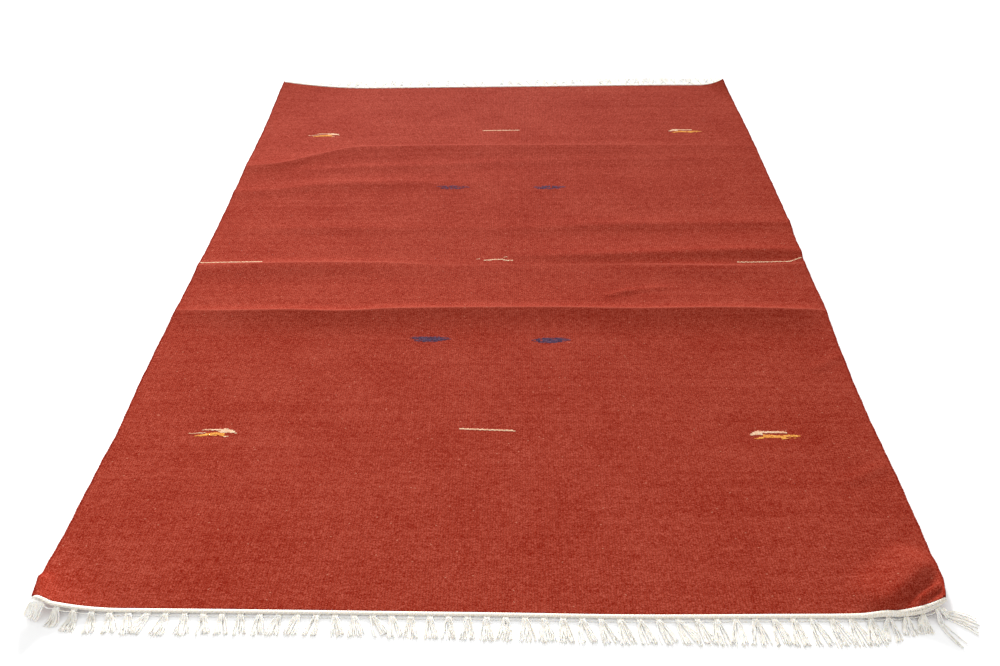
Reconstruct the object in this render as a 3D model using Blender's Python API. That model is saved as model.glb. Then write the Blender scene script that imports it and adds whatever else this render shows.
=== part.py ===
"""A kilim rug lying on a floor: one flat-woven wool cloth, with a knotted cotton fringe at each end.

Metres, +Z up. +X runs across the rug and +Y along it, from the near end to the far end. The origin
is on the floor, under the middle of the box that the whole rug fits. Each piece is drawn as the
flat outline of its underside, laid on the folds and lifted corners, and then thickened straight up.
"""

import math
from collections import namedtuple

import bmesh
import bpy
from mathutils import Vector

# ---- Driving sizes ------------------------------------------------------------------------------
WIDTH = 1.400  # the woven cloth, selvedge to selvedge
LENGTH = 2.000  # the woven cloth, end to end
CLOTH_MIDDLE = (-0.009, -0.004)  # from the origin: the near right tassel widens the box on its side
CLOTH_THICKNESS = 0.0030
PIECE_GAP = 0.0003  # between the cloth and each fringe

TASSELS = 49  # at each end
LOCKS = 3  # strands that one tassel fans into
RIDGE_DEPTH = 0.0066  # twined ridge against the cloth
GATHER_DEPTH = 0.0050  # open row where the warps draw together into tassels
CORD_DEPTH = 0.0022  # running cord under the gathers
GATHER_HALF_WIDTH = 0.0090  # half of what one tassel gathers at the ridge
KNOT_HALF_WIDTH = 0.0048  # half of the same warps at the cord
KNOT_BELLY = 0.0012  # how far the middle of a knot stands out from the cord
LOCK_WIDTH = 0.0032  # width of a strand lying on the floor
LOCK_BEND = 0.0170  # from the cord to the place where a strand meets the floor
LOCK_UNEVEN = 0.0025  # how much longer or shorter than its tassel a strand may be
LOCK_STRAIGHTENS = 0.8  # share of its angle that a strand keeps once it lies on the floor
FAN_ANGLE = math.radians(10)  # between one strand and the next, near the cord
FRINGE_THICKNESS = 0.0028

HALF_WIDTH = WIDTH / 2
HALF_LENGTH = LENGTH / 2
EDGE_FADE = 0.180  # how far into the cloth an edge's wandering is felt

# ---- How the cloth lies -------------------------------------------------------------------------
# How far each selvedge strays outwards, going along the rug.
Selvedge = namedtuple("Selvedge", "y left right")
SELVEDGES = (
    Selvedge(-1.00, 0.000, 0.000),
    Selvedge(-0.94, 0.003, 0.007),
    Selvedge(-0.88, 0.0015, 0.004),
    Selvedge(-0.80, 0.000, 0.0015),
    Selvedge(-0.70, -0.0015, 0.000),
    Selvedge(-0.60, -0.0045, -0.0035),
    Selvedge(-0.48, -0.001, -0.005),
    Selvedge(-0.33, 0.000, -0.0025),
    Selvedge(-0.18, -0.0015, 0.0015),
    Selvedge(-0.02, -0.003, -0.001),
    Selvedge(0.17, -0.0025, 0.0055),
    Selvedge(0.44, 0.0005, 0.0035),
    Selvedge(0.70, 0.0025, 0.000),
    Selvedge(0.90, 0.005, -0.006),
    Selvedge(1.00, 0.004, -0.008),
)

# How far each end bows outwards, going across the rug.
End = namedtuple("End", "x near far")
ENDS = (
    End(-0.70, 0.000, -0.002),
    End(-0.45, -0.002, -0.002),
    End(0.00, 0.001, 0.003),
    End(0.22, 0.003, 0.006),
    End(0.50, 0.000, 0.009),
    End(0.70, 0.000, 0.008),
)

# Creases across the rug, from its having been stored folded. Each rises gently on its far side,
# falls quickly on its near side, and its crest wanders.
Crest = namedtuple("Crest", "x y height")
Fold = namedtuple("Fold", "near_run far_run crest")
FOLDS = (
    Fold(0.070, 0.110, (
        Crest(-0.70, -0.220, 0.004),
        Crest(-0.45, -0.220, 0.008),
        Crest(-0.33, -0.226, 0.0085),
        Crest(-0.22, -0.214, 0.007),
        Crest(0.12, -0.211, 0.009),
        Crest(0.48, -0.214, 0.009),
        Crest(0.64, -0.212, 0.007),
        Crest(0.70, -0.214, 0.003),
    )),
    Fold(0.050, 0.100, (
        Crest(-0.70, -0.028, 0.003),
        Crest(-0.46, -0.027, 0.0055),
        Crest(-0.26, -0.029, 0.0045),
        Crest(-0.14, -0.020, 0.001),
        Crest(0.06, -0.003, 0.001),
        Crest(0.28, 0.014, 0.0035),
        Crest(0.58, 0.030, 0.0045),
        Crest(0.70, 0.028, 0.003),
    )),
    Fold(0.070, 0.110, (
        Crest(-0.70, 0.450, 0.004),
        Crest(-0.60, 0.505, 0.006),
        Crest(-0.50, 0.560, 0.006),
        Crest(-0.42, 0.584, 0.0055),
        Crest(-0.12, 0.591, 0.005),
        Crest(0.41, 0.590, 0.005),
        Crest(0.70, 0.588, 0.004),
    )),
)

# Short diagonal buckles behind the lifted near right corner.
Buckle = namedtuple("Buckle", "from_x from_y to_x to_y height run")
BUCKLES = (
    Buckle(0.560, -1.000, 0.700, -0.860, 0.0060, 0.042),
    Buckle(0.615, -1.000, 0.700, -0.915, -0.0030, 0.024),
)

# Corners that curl up. side and end are the corner's signs in x and y. The curl starts on a line
# that cuts the corner off at these reaches, and draws the tip in across and along the rug.
Corner = namedtuple("Corner", "side end lift reach_across reach_along draw_across draw_along")
CORNERS = (
    Corner(1, -1, 0.027, 0.20, 0.16, 0.015, 0.015),
    Corner(-1, -1, 0.018, 0.11, 0.18, 0.008, 0.010),
    Corner(-1, 1, 0.020, 0.28, 0.35, 0.002, -0.008),
    Corner(1, 1, 0.018, 0.09, 0.12, 0.010, -0.006),
)

# How the tassels lie, going across each end: their lean in degrees towards +X, and the length of
# their strands from the cord to the tip.
Lay = namedtuple("Lay", "x near_lean near_length far_lean far_length")
LAYS = (
    Lay(-0.69, -20, 0.034, 4, 0.046),
    Lay(-0.60, -6, 0.034, -6, 0.050),
    Lay(-0.50, -20, 0.037, 8, 0.050),
    Lay(-0.40, -2, 0.035, 0, 0.052),
    Lay(-0.28, -18, 0.036, -10, 0.052),
    Lay(-0.14, 4, 0.036, 6, 0.050),
    Lay(0.04, -4, 0.041, -4, 0.048),
    Lay(0.16, 16, 0.045, 8, 0.050),
    Lay(0.28, 26, 0.048, -2, 0.052),
    Lay(0.40, 10, 0.046, 8, 0.050),
    Lay(0.53, 24, 0.049, -6, 0.050),
    Lay(0.62, 12, 0.043, 4, 0.048),
    Lay(0.69, 54, 0.062, 8, 0.042),
)

# ---- Where the laid cloth's mesh lines run --------------------------------------------------------
Span = namedtuple("Span", "start end step")
COLUMN_SPANS = (
    Span(-0.70, -0.58, 0.030),
    Span(-0.58, -0.50, 0.040),
    Span(-0.50, 0.46, 0.080),
    Span(0.46, 0.58, 0.040),
    Span(0.58, 0.70, 0.020),
)
ROW_SPANS = (
    Span(-1.00, -0.88, 0.020),
    Span(-0.88, -0.76, 0.040),
    Span(-0.76, -0.32, 0.110),
    Span(0.16, 0.34, 0.090),
    Span(0.78, 0.88, 0.050),
    Span(0.88, 1.00, 0.030),
)
FOLD_ROW_SHARES = (-1.0, -0.45, 0.0, 0.4, 1.0)  # of a fold's near run, and then of its far run

# ---- Finishes -----------------------------------------------------------------------------------
WOOL_SRGB = (0.655, 0.250, 0.190)
COTTON_SRGB = (0.915, 0.890, 0.835)
YARN_ROUGHNESS = 0.95


def value_at(rows, place, column):
    """A table's column at a place between its rows, on a smooth curve through them."""
    places = [row[0] for row in rows]
    values = [getattr(row, column) for row in rows]
    place = min(max(place, places[0]), places[-1])
    last = len(rows) - 1
    i = max(k for k in range(last) if places[k] <= place)

    def slope(k):
        a, b = max(k - 1, 0), min(k + 1, last)
        return (values[b] - values[a]) / (places[b] - places[a])

    gap = places[i + 1] - places[i]
    t = (place - places[i]) / gap
    start = values[i] * (2 * t**3 - 3 * t**2 + 1) + slope(i) * gap * (t**3 - 2 * t**2 + t)
    end = values[i + 1] * (3 * t**2 - 2 * t**3) + slope(i + 1) * gap * (t**3 - t**2)
    return start + end


def edge_share(distance):
    """How strongly a point this far from an edge follows that edge: 1 on it, 0 well inside."""
    t = min(max(1 - distance / EDGE_FADE, 0), 1)
    return t * t * (3 - 2 * t)


def distance_to_buckle(buckle, x, y):
    start = Vector((buckle.from_x, buckle.from_y))
    line = Vector((buckle.to_x, buckle.to_y)) - start
    place = Vector((x, y)) - start
    share = min(max(place.dot(line) / line.length_squared, 0), 1)
    return (place - share * line).length


def curl_share(corner, x, y):
    """How far a point has followed its curling corner: 1 at the tip, 0 past the curl's line."""
    across = (HALF_WIDTH - corner.side * x) / corner.reach_across
    along = (HALF_LENGTH - corner.end * y) / corner.reach_along
    return max(0, 1 - across - along) ** 2


def laid(x, y):
    """Where the flat cloth's point (x, y) lies. Past an end, a point is carried by the end's edge."""
    on_y = min(max(y, -HALF_LENGTH), HALF_LENGTH)
    side, end = math.copysign(1, x), math.copysign(1, y)
    strays = value_at(SELVEDGES, on_y, "right" if side > 0 else "left")
    bows = value_at(ENDS, x, "far" if end > 0 else "near")
    shift_x = side * strays * edge_share(HALF_WIDTH - abs(x))
    shift_y = end * bows * edge_share(HALF_LENGTH - abs(on_y))
    height = 0
    for fold in FOLDS:
        away = on_y - value_at(fold.crest, x, "y")
        run = fold.far_run if away > 0 else fold.near_run
        height += value_at(fold.crest, x, "height") * max(0, 1 - abs(away) / run) ** 2
    for buckle in BUCKLES:
        near = max(0, 1 - (distance_to_buckle(buckle, x, on_y) / buckle.run) ** 2)
        height += buckle.height * near**2
    for corner in CORNERS:
        share = curl_share(corner, x, on_y)
        height += corner.lift * share
        shift_x -= corner.side * corner.draw_across * share
        shift_y -= corner.end * corner.draw_along * share
    return Vector((CLOTH_MIDDLE[0] + x + shift_x, CLOTH_MIDDLE[1] + y + shift_y, max(0, height)))


def stops(spans):
    """Every place that the spans divide themselves at, in order and without repeats."""
    places = set()
    for span in spans:
        count = round((span.end - span.start) / span.step)
        places |= {round(span.start + span.step * i, 4) for i in range(count)} | {span.end}
    return sorted(places)


def straight_row(y):
    """A mesh line straight across the cloth, as a function of x."""
    return lambda x: y


def crest_row(fold, offset):
    """A mesh line that keeps this far from a fold's crest, as a function of x."""
    return lambda x: value_at(fold.crest, x, "y") + offset


def cloth_rows():
    """The mesh lines across the cloth, from its near end to its far end."""
    rows = [straight_row(y) for y in stops(ROW_SPANS)]
    for fold in FOLDS:
        for share in FOLD_ROW_SHARES:
            rows.append(crest_row(fold, share * (fold.far_run if share > 0 else fold.near_run)))
    return sorted(rows, key=lambda row: row(0))


def thicken(bm, thickness):
    """Turns a laid underside into a closed slab, by raising a copy of it straight up."""
    made = bmesh.ops.extrude_face_region(bm, geom=list(bm.faces))
    raised = [part for part in made["geom"] if isinstance(part, bmesh.types.BMVert)]
    bmesh.ops.translate(bm, verts=raised, vec=(0, 0, thickness))
    bmesh.ops.recalc_face_normals(bm, faces=bm.faces)


def yarn_material(name, srgb):
    """A rough, unshiny yarn of this colour."""
    material = bpy.data.materials.new(name)
    material.use_nodes = True
    linear = [((c + 0.055) / 1.055) ** 2.4 for c in srgb]
    shader = material.node_tree.nodes["Principled BSDF"]
    shader.inputs["Base Color"].default_value = (*linear, 1)
    shader.inputs["Roughness"].default_value = YARN_ROUGHNESS
    shader.inputs["Metallic"].default_value = 0
    material.diffuse_color = (*linear, 1)
    return material


def add_piece(collection, name, bm, material):
    mesh = bpy.data.meshes.new(name)
    bm.to_mesh(mesh)
    bm.free()
    mesh.materials.append(material)
    piece = bpy.data.objects.new(name, mesh)
    collection.objects.link(piece)
    return piece


def make_cloth(collection, material):
    """The woven field with its selvedges: a grid laid point by point."""
    columns, rows = stops(COLUMN_SPANS), cloth_rows()
    bm = bmesh.new()
    bmesh.ops.create_grid(bm, x_segments=len(columns) - 1, y_segments=len(rows) - 1, size=0.5)
    across, along = len(columns) - 1, len(rows) - 1
    for vert in bm.verts:
        x = columns[round((vert.co.x + 0.5) * across)]
        y = rows[round((vert.co.y + 0.5) * along)](x)
        vert.co = laid(x, y)
    thicken(bm, CLOTH_THICKNESS)
    return add_piece(collection, "kilim_cloth", bm, material)


def lock_angle(lean, lock):
    """The way that one of a tassel's strands leaves the cord, from straight out towards +X."""
    return lean + (lock - (LOCKS - 1) / 2) * FAN_ANGLE


def make_fringe(collection, name, end, material):
    """One end's ridge, gathers and running cord in a single lattice, with the strands it holds."""
    bm = bmesh.new()
    ridge_in = PIECE_GAP
    ridge_out = ridge_in + RIDGE_DEPTH
    cord_in = ridge_out + GATHER_DEPTH
    cord_out = cord_in + CORD_DEPTH
    pitch = WIDTH / TASSELS
    last = TASSELS - 1
    which = "far" if end > 0 else "near"

    def carried(x, distance):
        """A point past the end's edge, carried by it."""
        return laid(min(max(x, -HALF_WIDTH), HALF_WIDTH), end * (HALF_LENGTH + distance))

    def vert(x, distance):
        return bm.verts.new(carried(x, distance))

    def root(middle, share):
        """A place on a knot's outer edge, with share from -1 at one side of the knot to 1."""
        return vert(middle + share * KNOT_HALF_WIDTH, cord_out + KNOT_BELLY * (1 - share**2))

    def face(*verts):
        return bm.faces.new(verts)

    def add_lock(tassel, lock, roots, middle):
        """One strand: from its root down to the floor, and along the floor to its tip."""
        angle = lock_angle(math.radians(value_at(LAYS, middle, which + "_lean")), lock)
        uneven = LOCK_UNEVEN * math.sin(2.4 * tassel + 1.7 * lock + end)
        length = value_at(LAYS, middle, which + "_length") + uneven
        left, right = roots[lock], roots[lock + 1]
        place = (left.co + right.co) / 2
        place.z = 0
        for run, turn in ((LOCK_BEND, angle), (length - LOCK_BEND, angle * LOCK_STRAIGHTENS)):
            heading = Vector((math.sin(turn), end * math.cos(turn), 0))
            beside = Vector((math.cos(turn), -end * math.sin(turn), 0)) * LOCK_WIDTH / 2
            place = place + heading * run
            next_left = bm.verts.new(place - beside)
            next_right = bm.verts.new(place + beside)
            face(left, right, next_right, next_left)
            left, right = next_left, next_right

    for tassel in range(TASSELS):
        middle = -HALF_WIDTH + (tassel + 0.5) * pitch
        gather_left = -HALF_WIDTH if tassel == 0 else middle - GATHER_HALF_WIDTH
        gather_right = HALF_WIDTH if tassel == last else middle + GATHER_HALF_WIDTH
        ridge = [vert(x, d) for d in (ridge_in, ridge_out) for x in (gather_left, gather_right)]
        knot = [vert(middle + share * KNOT_HALF_WIDTH, cord_in) for share in (-1, 1)]
        roots = [root(middle, 2 * k / LOCKS - 1) for k in range(LOCKS + 1)]
        face(ridge[0], ridge[1], ridge[3], ridge[2])
        face(ridge[2], ridge[3], knot[1], knot[0])
        face(knot[0], roots[1], roots[0])
        face(knot[0], knot[1], *reversed(roots[1:-1]))
        face(knot[1], roots[-1], roots[-2])
        if tassel > 0:
            face(before_ridge[1], ridge[0], ridge[2], before_ridge[3])
            face(before_knot[1], knot[0], roots[0], before_roots[-1])
        for lock in range(LOCKS):
            add_lock(tassel, lock, roots, middle)
        before_ridge, before_knot, before_roots = ridge, knot, roots
    thicken(bm, FRINGE_THICKNESS)
    return add_piece(collection, name, bm, material)


def main():
    for old in list(bpy.data.objects):
        bpy.data.objects.remove(old, do_unlink=True)
    collection = bpy.data.collections.new("kilim_rug")
    bpy.context.scene.collection.children.link(collection)
    wool = yarn_material("wool_cloth", WOOL_SRGB)
    cotton = yarn_material("cotton_fringe", COTTON_SRGB)
    make_cloth(collection, wool)
    make_fringe(collection, "near_fringe", -1, cotton)
    make_fringe(collection, "far_fringe", 1, cotton)


main()
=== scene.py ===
# %% [markdown]
# # A kilim rug, dressed thread by thread
#
# The rug is one flat-woven wool cloth with a knotted cotton fringe at each end. Its solid model
# already has the real size and the way it lies: the storage creases, the wandering selvedges and
# the curled corners. This lesson dresses that model. We could give the solids a finish and stop,
# but cloth is made of thread, so here each piece is built again from threads that follow the solid.

import math
from collections import namedtuple

import bpy
import numpy as np
from mathutils import Matrix, Vector


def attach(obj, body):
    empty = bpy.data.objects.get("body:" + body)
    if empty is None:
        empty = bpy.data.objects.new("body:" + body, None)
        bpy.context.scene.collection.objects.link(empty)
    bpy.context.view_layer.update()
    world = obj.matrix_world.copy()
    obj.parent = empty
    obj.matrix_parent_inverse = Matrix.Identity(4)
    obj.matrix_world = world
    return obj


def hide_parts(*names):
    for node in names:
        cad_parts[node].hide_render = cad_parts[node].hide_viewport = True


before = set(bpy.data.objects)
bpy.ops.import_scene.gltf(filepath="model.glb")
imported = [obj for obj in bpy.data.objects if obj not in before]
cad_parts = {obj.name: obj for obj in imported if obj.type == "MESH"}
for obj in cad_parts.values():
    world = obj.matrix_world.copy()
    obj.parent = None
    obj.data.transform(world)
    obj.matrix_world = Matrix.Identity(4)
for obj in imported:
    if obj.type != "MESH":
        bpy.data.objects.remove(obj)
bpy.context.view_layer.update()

# %% [markdown]
# ## The studio
#
# The rug was photographed on a white floor that runs out of the picture, in a broad soft light from
# behind, which is why the near side of each crease is the dark one. A wide low lamp some way off
# gives that light. The rug is a little darker to the right, so the lamp has a grid, which narrows
# its beam, and is aimed past the rug's left side. A ring of weak lamps could fill the shadows, but
# a plain white surround does it evenly, and it meets the white floor with hardly a line.

# %% Lamp and surround
scene = bpy.context.scene
scene.view_settings.view_transform = "Standard"

SURROUND_STRENGTH = 1.0
LAMP_PLACE = Vector((-1.4, 17.0, 3.9))
LAMP_AIM = Vector((-4.5, 0.3, 0.0))
LAMP_SPREAD = math.radians(45)
LAMP_SIZE = (5.0, 6.0)
LAMP_WATTS = 1220

world = bpy.data.worlds.new("white_surround")
world.use_nodes = True
scene.world = world
surround = world.node_tree.nodes["Background"]
surround.inputs["Color"].default_value = (1, 1, 1, 1)
surround.inputs["Strength"].default_value = SURROUND_STRENGTH

lamp = bpy.data.objects.new("back_lamp", bpy.data.lights.new("back_lamp", "AREA"))
lamp.data.shape = "RECTANGLE"
lamp.data.size, lamp.data.size_y = LAMP_SIZE
lamp.data.energy = LAMP_WATTS
lamp.data.spread = LAMP_SPREAD
lamp.location = LAMP_PLACE
lamp.rotation_euler = (LAMP_PLACE - LAMP_AIM).to_track_quat("Z", "Y").to_euler()
scene.collection.objects.link(lamp)
height_of_lamp = math.degrees(math.asin(LAMP_PLACE.normalized().z))
print("lamp", round(height_of_lamp), "degrees up,", round(LAMP_PLACE.length, 1), "m away")

# %% [markdown]
# ## The camera
#
# The photograph was taken standing at the near end, looking down at about 37 degrees. The camera's
# place and turn were worked out from the four corners of the cloth. The turn is written as three
# angles and becomes three axes, because that is easier to read than a quaternion.

# %% Camera
CAMERA_PLACE = Vector((0.0443, -1.9302, 1.2159))
CAMERA_DOWN = 0.6401
CAMERA_TURN = 0.0287
CAMERA_ROLL = -0.0168
CAMERA_LENS = 36 * 973.38 / 1000

ahead = Vector((
    -math.sin(CAMERA_TURN) * math.cos(CAMERA_DOWN),
    math.cos(CAMERA_TURN) * math.cos(CAMERA_DOWN),
    -math.sin(CAMERA_DOWN),
))
level = Vector((math.cos(CAMERA_TURN), math.sin(CAMERA_TURN), 0))
upward = level.cross(ahead)
right = math.cos(CAMERA_ROLL) * level + math.sin(CAMERA_ROLL) * upward
top = -math.sin(CAMERA_ROLL) * level + math.cos(CAMERA_ROLL) * upward
axes = Matrix((right, top, -ahead)).transposed().to_4x4()

camera = bpy.data.objects.new("camera", bpy.data.cameras.new("camera"))
camera.data.lens = CAMERA_LENS
camera.matrix_world = Matrix.Translation(CAMERA_PLACE) @ axes
scene.collection.objects.link(camera)
scene.camera = camera
print("camera", round(CAMERA_PLACE.z, 2), "m up, lens", round(CAMERA_LENS, 1), "mm")

# %% [markdown]
# ## How the rug lies
#
# A woven cloth is flat when it comes off the loom. Everything below is first drawn flat, in cloth
# coordinates: u across from the middle, v along from the middle. One function, `lie`, then says
# where a point of the flat cloth ends up. The tables give what a rug-maker could measure with a
# ruler: how far each edge wanders, where each crease runs and how high it stands. They began as the
# solid model's own values and were then trimmed against the photograph. Nine tenths of the cloth
# lies within 3 mm of the solid's height, and the highest crests and corners up to 10 mm off it.

# %% Sizes of the flat rug
WIDTH, LENGTH = 1.400, 2.000
HALF_WIDTH, HALF_LENGTH = WIDTH / 2, LENGTH / 2
CLOTH_MIDDLE = (-0.009, -0.004)
CLOTH_THICKNESS = 0.0028
EDGE_FADE = 0.180

Selvedge = namedtuple("Selvedge", "v left right")
SELVEDGES = (
    Selvedge(-1.00, 0.000, 0.000),
    Selvedge(-0.94, 0.0045, 0.0048),
    Selvedge(-0.88, 0.0015, 0.002),
    Selvedge(-0.80, 0.000, 0.0015),
    Selvedge(-0.70, -0.0015, 0.000),
    Selvedge(-0.60, -0.0045, -0.0035),
    Selvedge(-0.48, -0.001, -0.005),
    Selvedge(-0.33, 0.000, -0.0025),
    Selvedge(-0.18, -0.0015, 0.0015),
    Selvedge(-0.02, -0.003, -0.001),
    Selvedge(0.17, -0.0025, 0.0055),
    Selvedge(0.44, 0.0005, 0.0035),
    Selvedge(0.70, 0.0025, 0.000),
    Selvedge(0.90, 0.005, -0.006),
    Selvedge(1.00, 0.004, -0.008),
)
End = namedtuple("End", "u near far")
ENDS = (
    End(-0.70, 0.000, -0.002),
    End(-0.45, 0.000, -0.002),
    End(0.00, 0.0025, 0.003),
    End(0.22, 0.0045, 0.006),
    End(0.50, 0.001, 0.009),
    End(0.70, 0.000, 0.008),
)
print("flat cloth", WIDTH, "x", LENGTH, "m")

# %% Creases, ripples and curled corners
# A fold falls away from its crest over its two runs. Its near side sets out over the rounding, and
# the snap is the share of its height that its far side loses at once.
Crest = namedtuple("Crest", "u v height")
Fold = namedtuple("Fold", "near_run far_run rounding snap crest")
FOLDS = (
    Fold(0.088, 0.240, 0.003, 0.34, (
        Crest(-0.70, -0.2175, 0.003),
        Crest(-0.60, -0.2248, 0.0076),
        Crest(-0.45, -0.2270, 0.0113),
        Crest(-0.33, -0.2321, 0.0119),
        Crest(-0.22, -0.2238, 0.0121),
        Crest(0.12, -0.2182, 0.0115),
        Crest(0.30, -0.2246, 0.0129),
        Crest(0.48, -0.2226, 0.0138),
        Crest(0.64, -0.2283, 0.0132),
        Crest(0.70, -0.2195, 0.0040),
    )),
    Fold(0.065, 0.200, 0.030, 0.36, (
        Crest(-0.70, -0.0400, 0.0045),
        Crest(-0.46, -0.0325, 0.0072),
        Crest(-0.26, -0.0300, 0.0044),
        Crest(-0.14, -0.0385, 0.0026),
        Crest(0.05, -0.0405, 0.0022),
        Crest(0.21, -0.040, 0.0030),
        Crest(0.35, -0.041, 0.0050),
        Crest(0.48, -0.048, 0.0070),
        Crest(0.60, -0.044, 0.0045),
        Crest(0.70, -0.032, 0.0040),
    )),
    Fold(0.110, 0.280, 0.012, 0.18, (
        Crest(-0.70, 0.460, 0.0018),
        Crest(-0.60, 0.4765, 0.0030),
        Crest(-0.50, 0.532, 0.0030),
        Crest(-0.42, 0.569, 0.0044),
        Crest(-0.30, 0.5775, 0.0050),
        Crest(-0.12, 0.5825, 0.0048),
        Crest(0.30, 0.5815, 0.0044),
        Crest(0.45, 0.582, 0.0026),
        Crest(0.70, 0.581, 0.0010),
    )),
)
# The first of these is the right half of the solid's middle crease. The solid has none of the rest.
RIDGES = (
    Fold(0.042, 0.120, 0.007, 0.32, (
        Crest(0.00, 0.005, 0.0000),
        Crest(0.12, 0.001, 0.0040),
        Crest(0.21, 0.0015, 0.0062),
        Crest(0.35, 0.006, 0.0078),
        Crest(0.48, 0.012, 0.0088),
        Crest(0.60, 0.0160, 0.0100),
        Crest(0.70, 0.015, 0.0070),
    )),
    Fold(0.050, 0.075, 0.008, 0.25, (
        Crest(-0.70, 0.128, 0.0004),
        Crest(-0.60, 0.128, 0.0012),
        Crest(-0.42, 0.133, 0.0026),
        Crest(-0.20, 0.131, 0.0016),
        Crest(0.05, 0.131, 0.0018),
        Crest(0.21, 0.142, 0.0040),
        Crest(0.35, 0.145, 0.0050),
        Crest(0.50, 0.149, 0.0040),
        Crest(0.62, 0.152, 0.0048),
        Crest(0.70, 0.153, 0.0042),
    )),
    Fold(0.045, 0.085, 0.012, 0.0, (
        Crest(-0.70, 0.460, 0.0026),
        Crest(-0.60, 0.4765, 0.0036),
        Crest(-0.50, 0.532, 0.0026),
        Crest(-0.42, 0.569, 0.0010),
        Crest(-0.34, 0.575, 0.0000),
    )),
    Fold(0.045, 0.022, 0.008, 0.3, (
        Crest(-0.60, 0.432, 0.000),
        Crest(-0.42, 0.455, 0.0020),
        Crest(-0.17, 0.470, 0.0020),
        Crest(0.05, 0.486, 0.0016),
        Crest(0.50, 0.500, 0.0012),
        Crest(0.70, 0.505, 0.0006),
    )),
    Fold(0.050, 0.060, 0.010, 0.2, (
        Crest(-0.70, 0.318, 0.0022),
        Crest(-0.58, 0.331, 0.0028),
        Crest(-0.48, 0.355, 0.0036),
        Crest(-0.32, 0.364, 0.0034),
        Crest(-0.12, 0.366, 0.0016),
        Crest(0.10, 0.370, 0.0000),
    )),
)
# side and end are a corner's signs in u and v. Its curl starts on a line that cuts the corner off
# at these reaches, and draws the tip in.
Corner = namedtuple("Corner", "side end lift reach_across reach_along draw_across draw_along curl")
CORNERS = (
    Corner(1, -1, 0.0262, 0.20, 0.19, 0.0175, 0.013, 3),
    Corner(-1, -1, 0.0222, 0.150, 0.18, 0.012, 0.004, 2),
    Corner(-1, 1, 0.020, 0.28, 0.35, 0.002, -0.008, 2),
    Corner(1, 1, 0.0185, 0.088, 0.12, 0.010, -0.006, 2),
)
# The first two take the place of the solid's buckles behind the near right corner. The third lifts
# the near left one, and the rest are too slight for the solid. back_run is the run on a line's left.
Ripple = namedtuple("Ripple", "from_u from_v to_u to_v height run back_run")
RIPPLES = (
    Ripple(0.6085, -0.9765, 0.6675, -0.9235, 0.0132, 0.025, 0.070),
    Ripple(0.655, -0.986, 0.688, -0.963, 0.0100, 0.011, 0.010),
    Ripple(-0.689, -1.000, -0.695, -0.960, 0.0075, 0.022, 0.014),
    Ripple(0.245, -0.166, 0.285, -0.149, 0.0024, 0.014, 0.014),
    Ripple(0.285, -0.149, 0.370, -0.134, 0.0018, 0.014, 0.014),
    Ripple(0.640, -0.412, 0.690, -0.376, 0.0018, 0.018, 0.018),
    Ripple(0.620, -0.724, 0.680, -0.690, 0.0018, 0.018, 0.018),
)
print(len(FOLDS), "creases,", len(RIDGES), "ridges,", len(RIPPLES), "ripples")

# %% Read a table on a smooth curve
def along(rows, column, places):
    """A table's column at many places at once, on the smooth curve through its rows."""
    at = np.array([row[0] for row in rows])
    values = np.array([getattr(row, column) for row in rows])
    slopes = np.empty(len(rows))
    slopes[1:-1] = (values[2:] - values[:-2]) / (at[2:] - at[:-2])
    slopes[0] = (values[1] - values[0]) / (at[1] - at[0])
    slopes[-1] = (values[-1] - values[-2]) / (at[-1] - at[-2])
    places = np.clip(places, at[0], at[-1])
    i = np.clip(np.searchsorted(at, places, side="right") - 1, 0, len(rows) - 2)
    gap = at[i + 1] - at[i]
    t = (places - at[i]) / gap
    start = values[i] * (2 * t**3 - 3 * t**2 + 1) + slopes[i] * gap * (t**3 - 2 * t**2 + t)
    end = values[i + 1] * (3 * t**2 - 2 * t**3) + slopes[i + 1] * gap * (t**3 - t**2)
    return start + end


print("near crease at the middle:", along(FOLDS[0].crest, "height", 0.0), "m high")

# %% [markdown]
# ### A crease with a soft crest
#
# A fold that was pressed in storage opens again into a low tent. The solid has a sharp crest there,
# which is right for a mesh of few faces. Wool can't turn that sharply, so here the near side rolls
# over slowly, and the far side drops quickly at first (the crease's snap) and then runs out level.
# Slow swells of half a millimetre keep the flat parts from looking like board.

# %% Where a point of the flat cloth lies
SNAP_RUN = 0.028
CREST_ROUNDING = 0.0025
SWELL_HEIGHT = 0.0006
SWELL_FADE = 0.05


def tent(away, fold):
    """A fold's share of its height at this distance past its crest."""
    before = np.hypot(np.minimum(away, 0), fold.rounding) - fold.rounding
    near = np.maximum(0, 1 - before / fold.near_run) ** 2
    behind = np.hypot(np.maximum(away, 0), CREST_ROUNDING) - CREST_ROUNDING
    slow = np.maximum(0, 1 - behind / fold.far_run) ** 2
    quick = np.maximum(0, 1 - behind / SNAP_RUN) ** 2
    return np.where(away > 0, (1 - fold.snap) * slow + fold.snap * quick, near)


def ripple_share(ripple, u, v):
    """A ripple's share of its height at a place, 1 all along its line."""
    start = np.array((ripple.from_u, ripple.from_v))
    line = np.array((ripple.to_u, ripple.to_v)) - start
    off_u, off_v = u - start[0], v - start[1]
    t = np.clip((off_u * line[0] + off_v * line[1]) / (line @ line), 0, 1)
    away = np.hypot(off_u - t * line[0], off_v - t * line[1])
    side = (line[0] * off_v - line[1] * off_u) / np.hypot(*line) / np.maximum(away, 1e-6)
    run = ripple.run + (ripple.back_run - ripple.run) * (1 + np.clip(side, -1, 1)) / 2
    return np.maximum(0, 1 - (away / run) ** 2) ** 2


def fade(distance, reach):
    """1 on an edge, falling smoothly to 0 at this reach from it."""
    t = np.clip(1 - distance / reach, 0, 1)
    return t * t * (3 - 2 * t)


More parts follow.
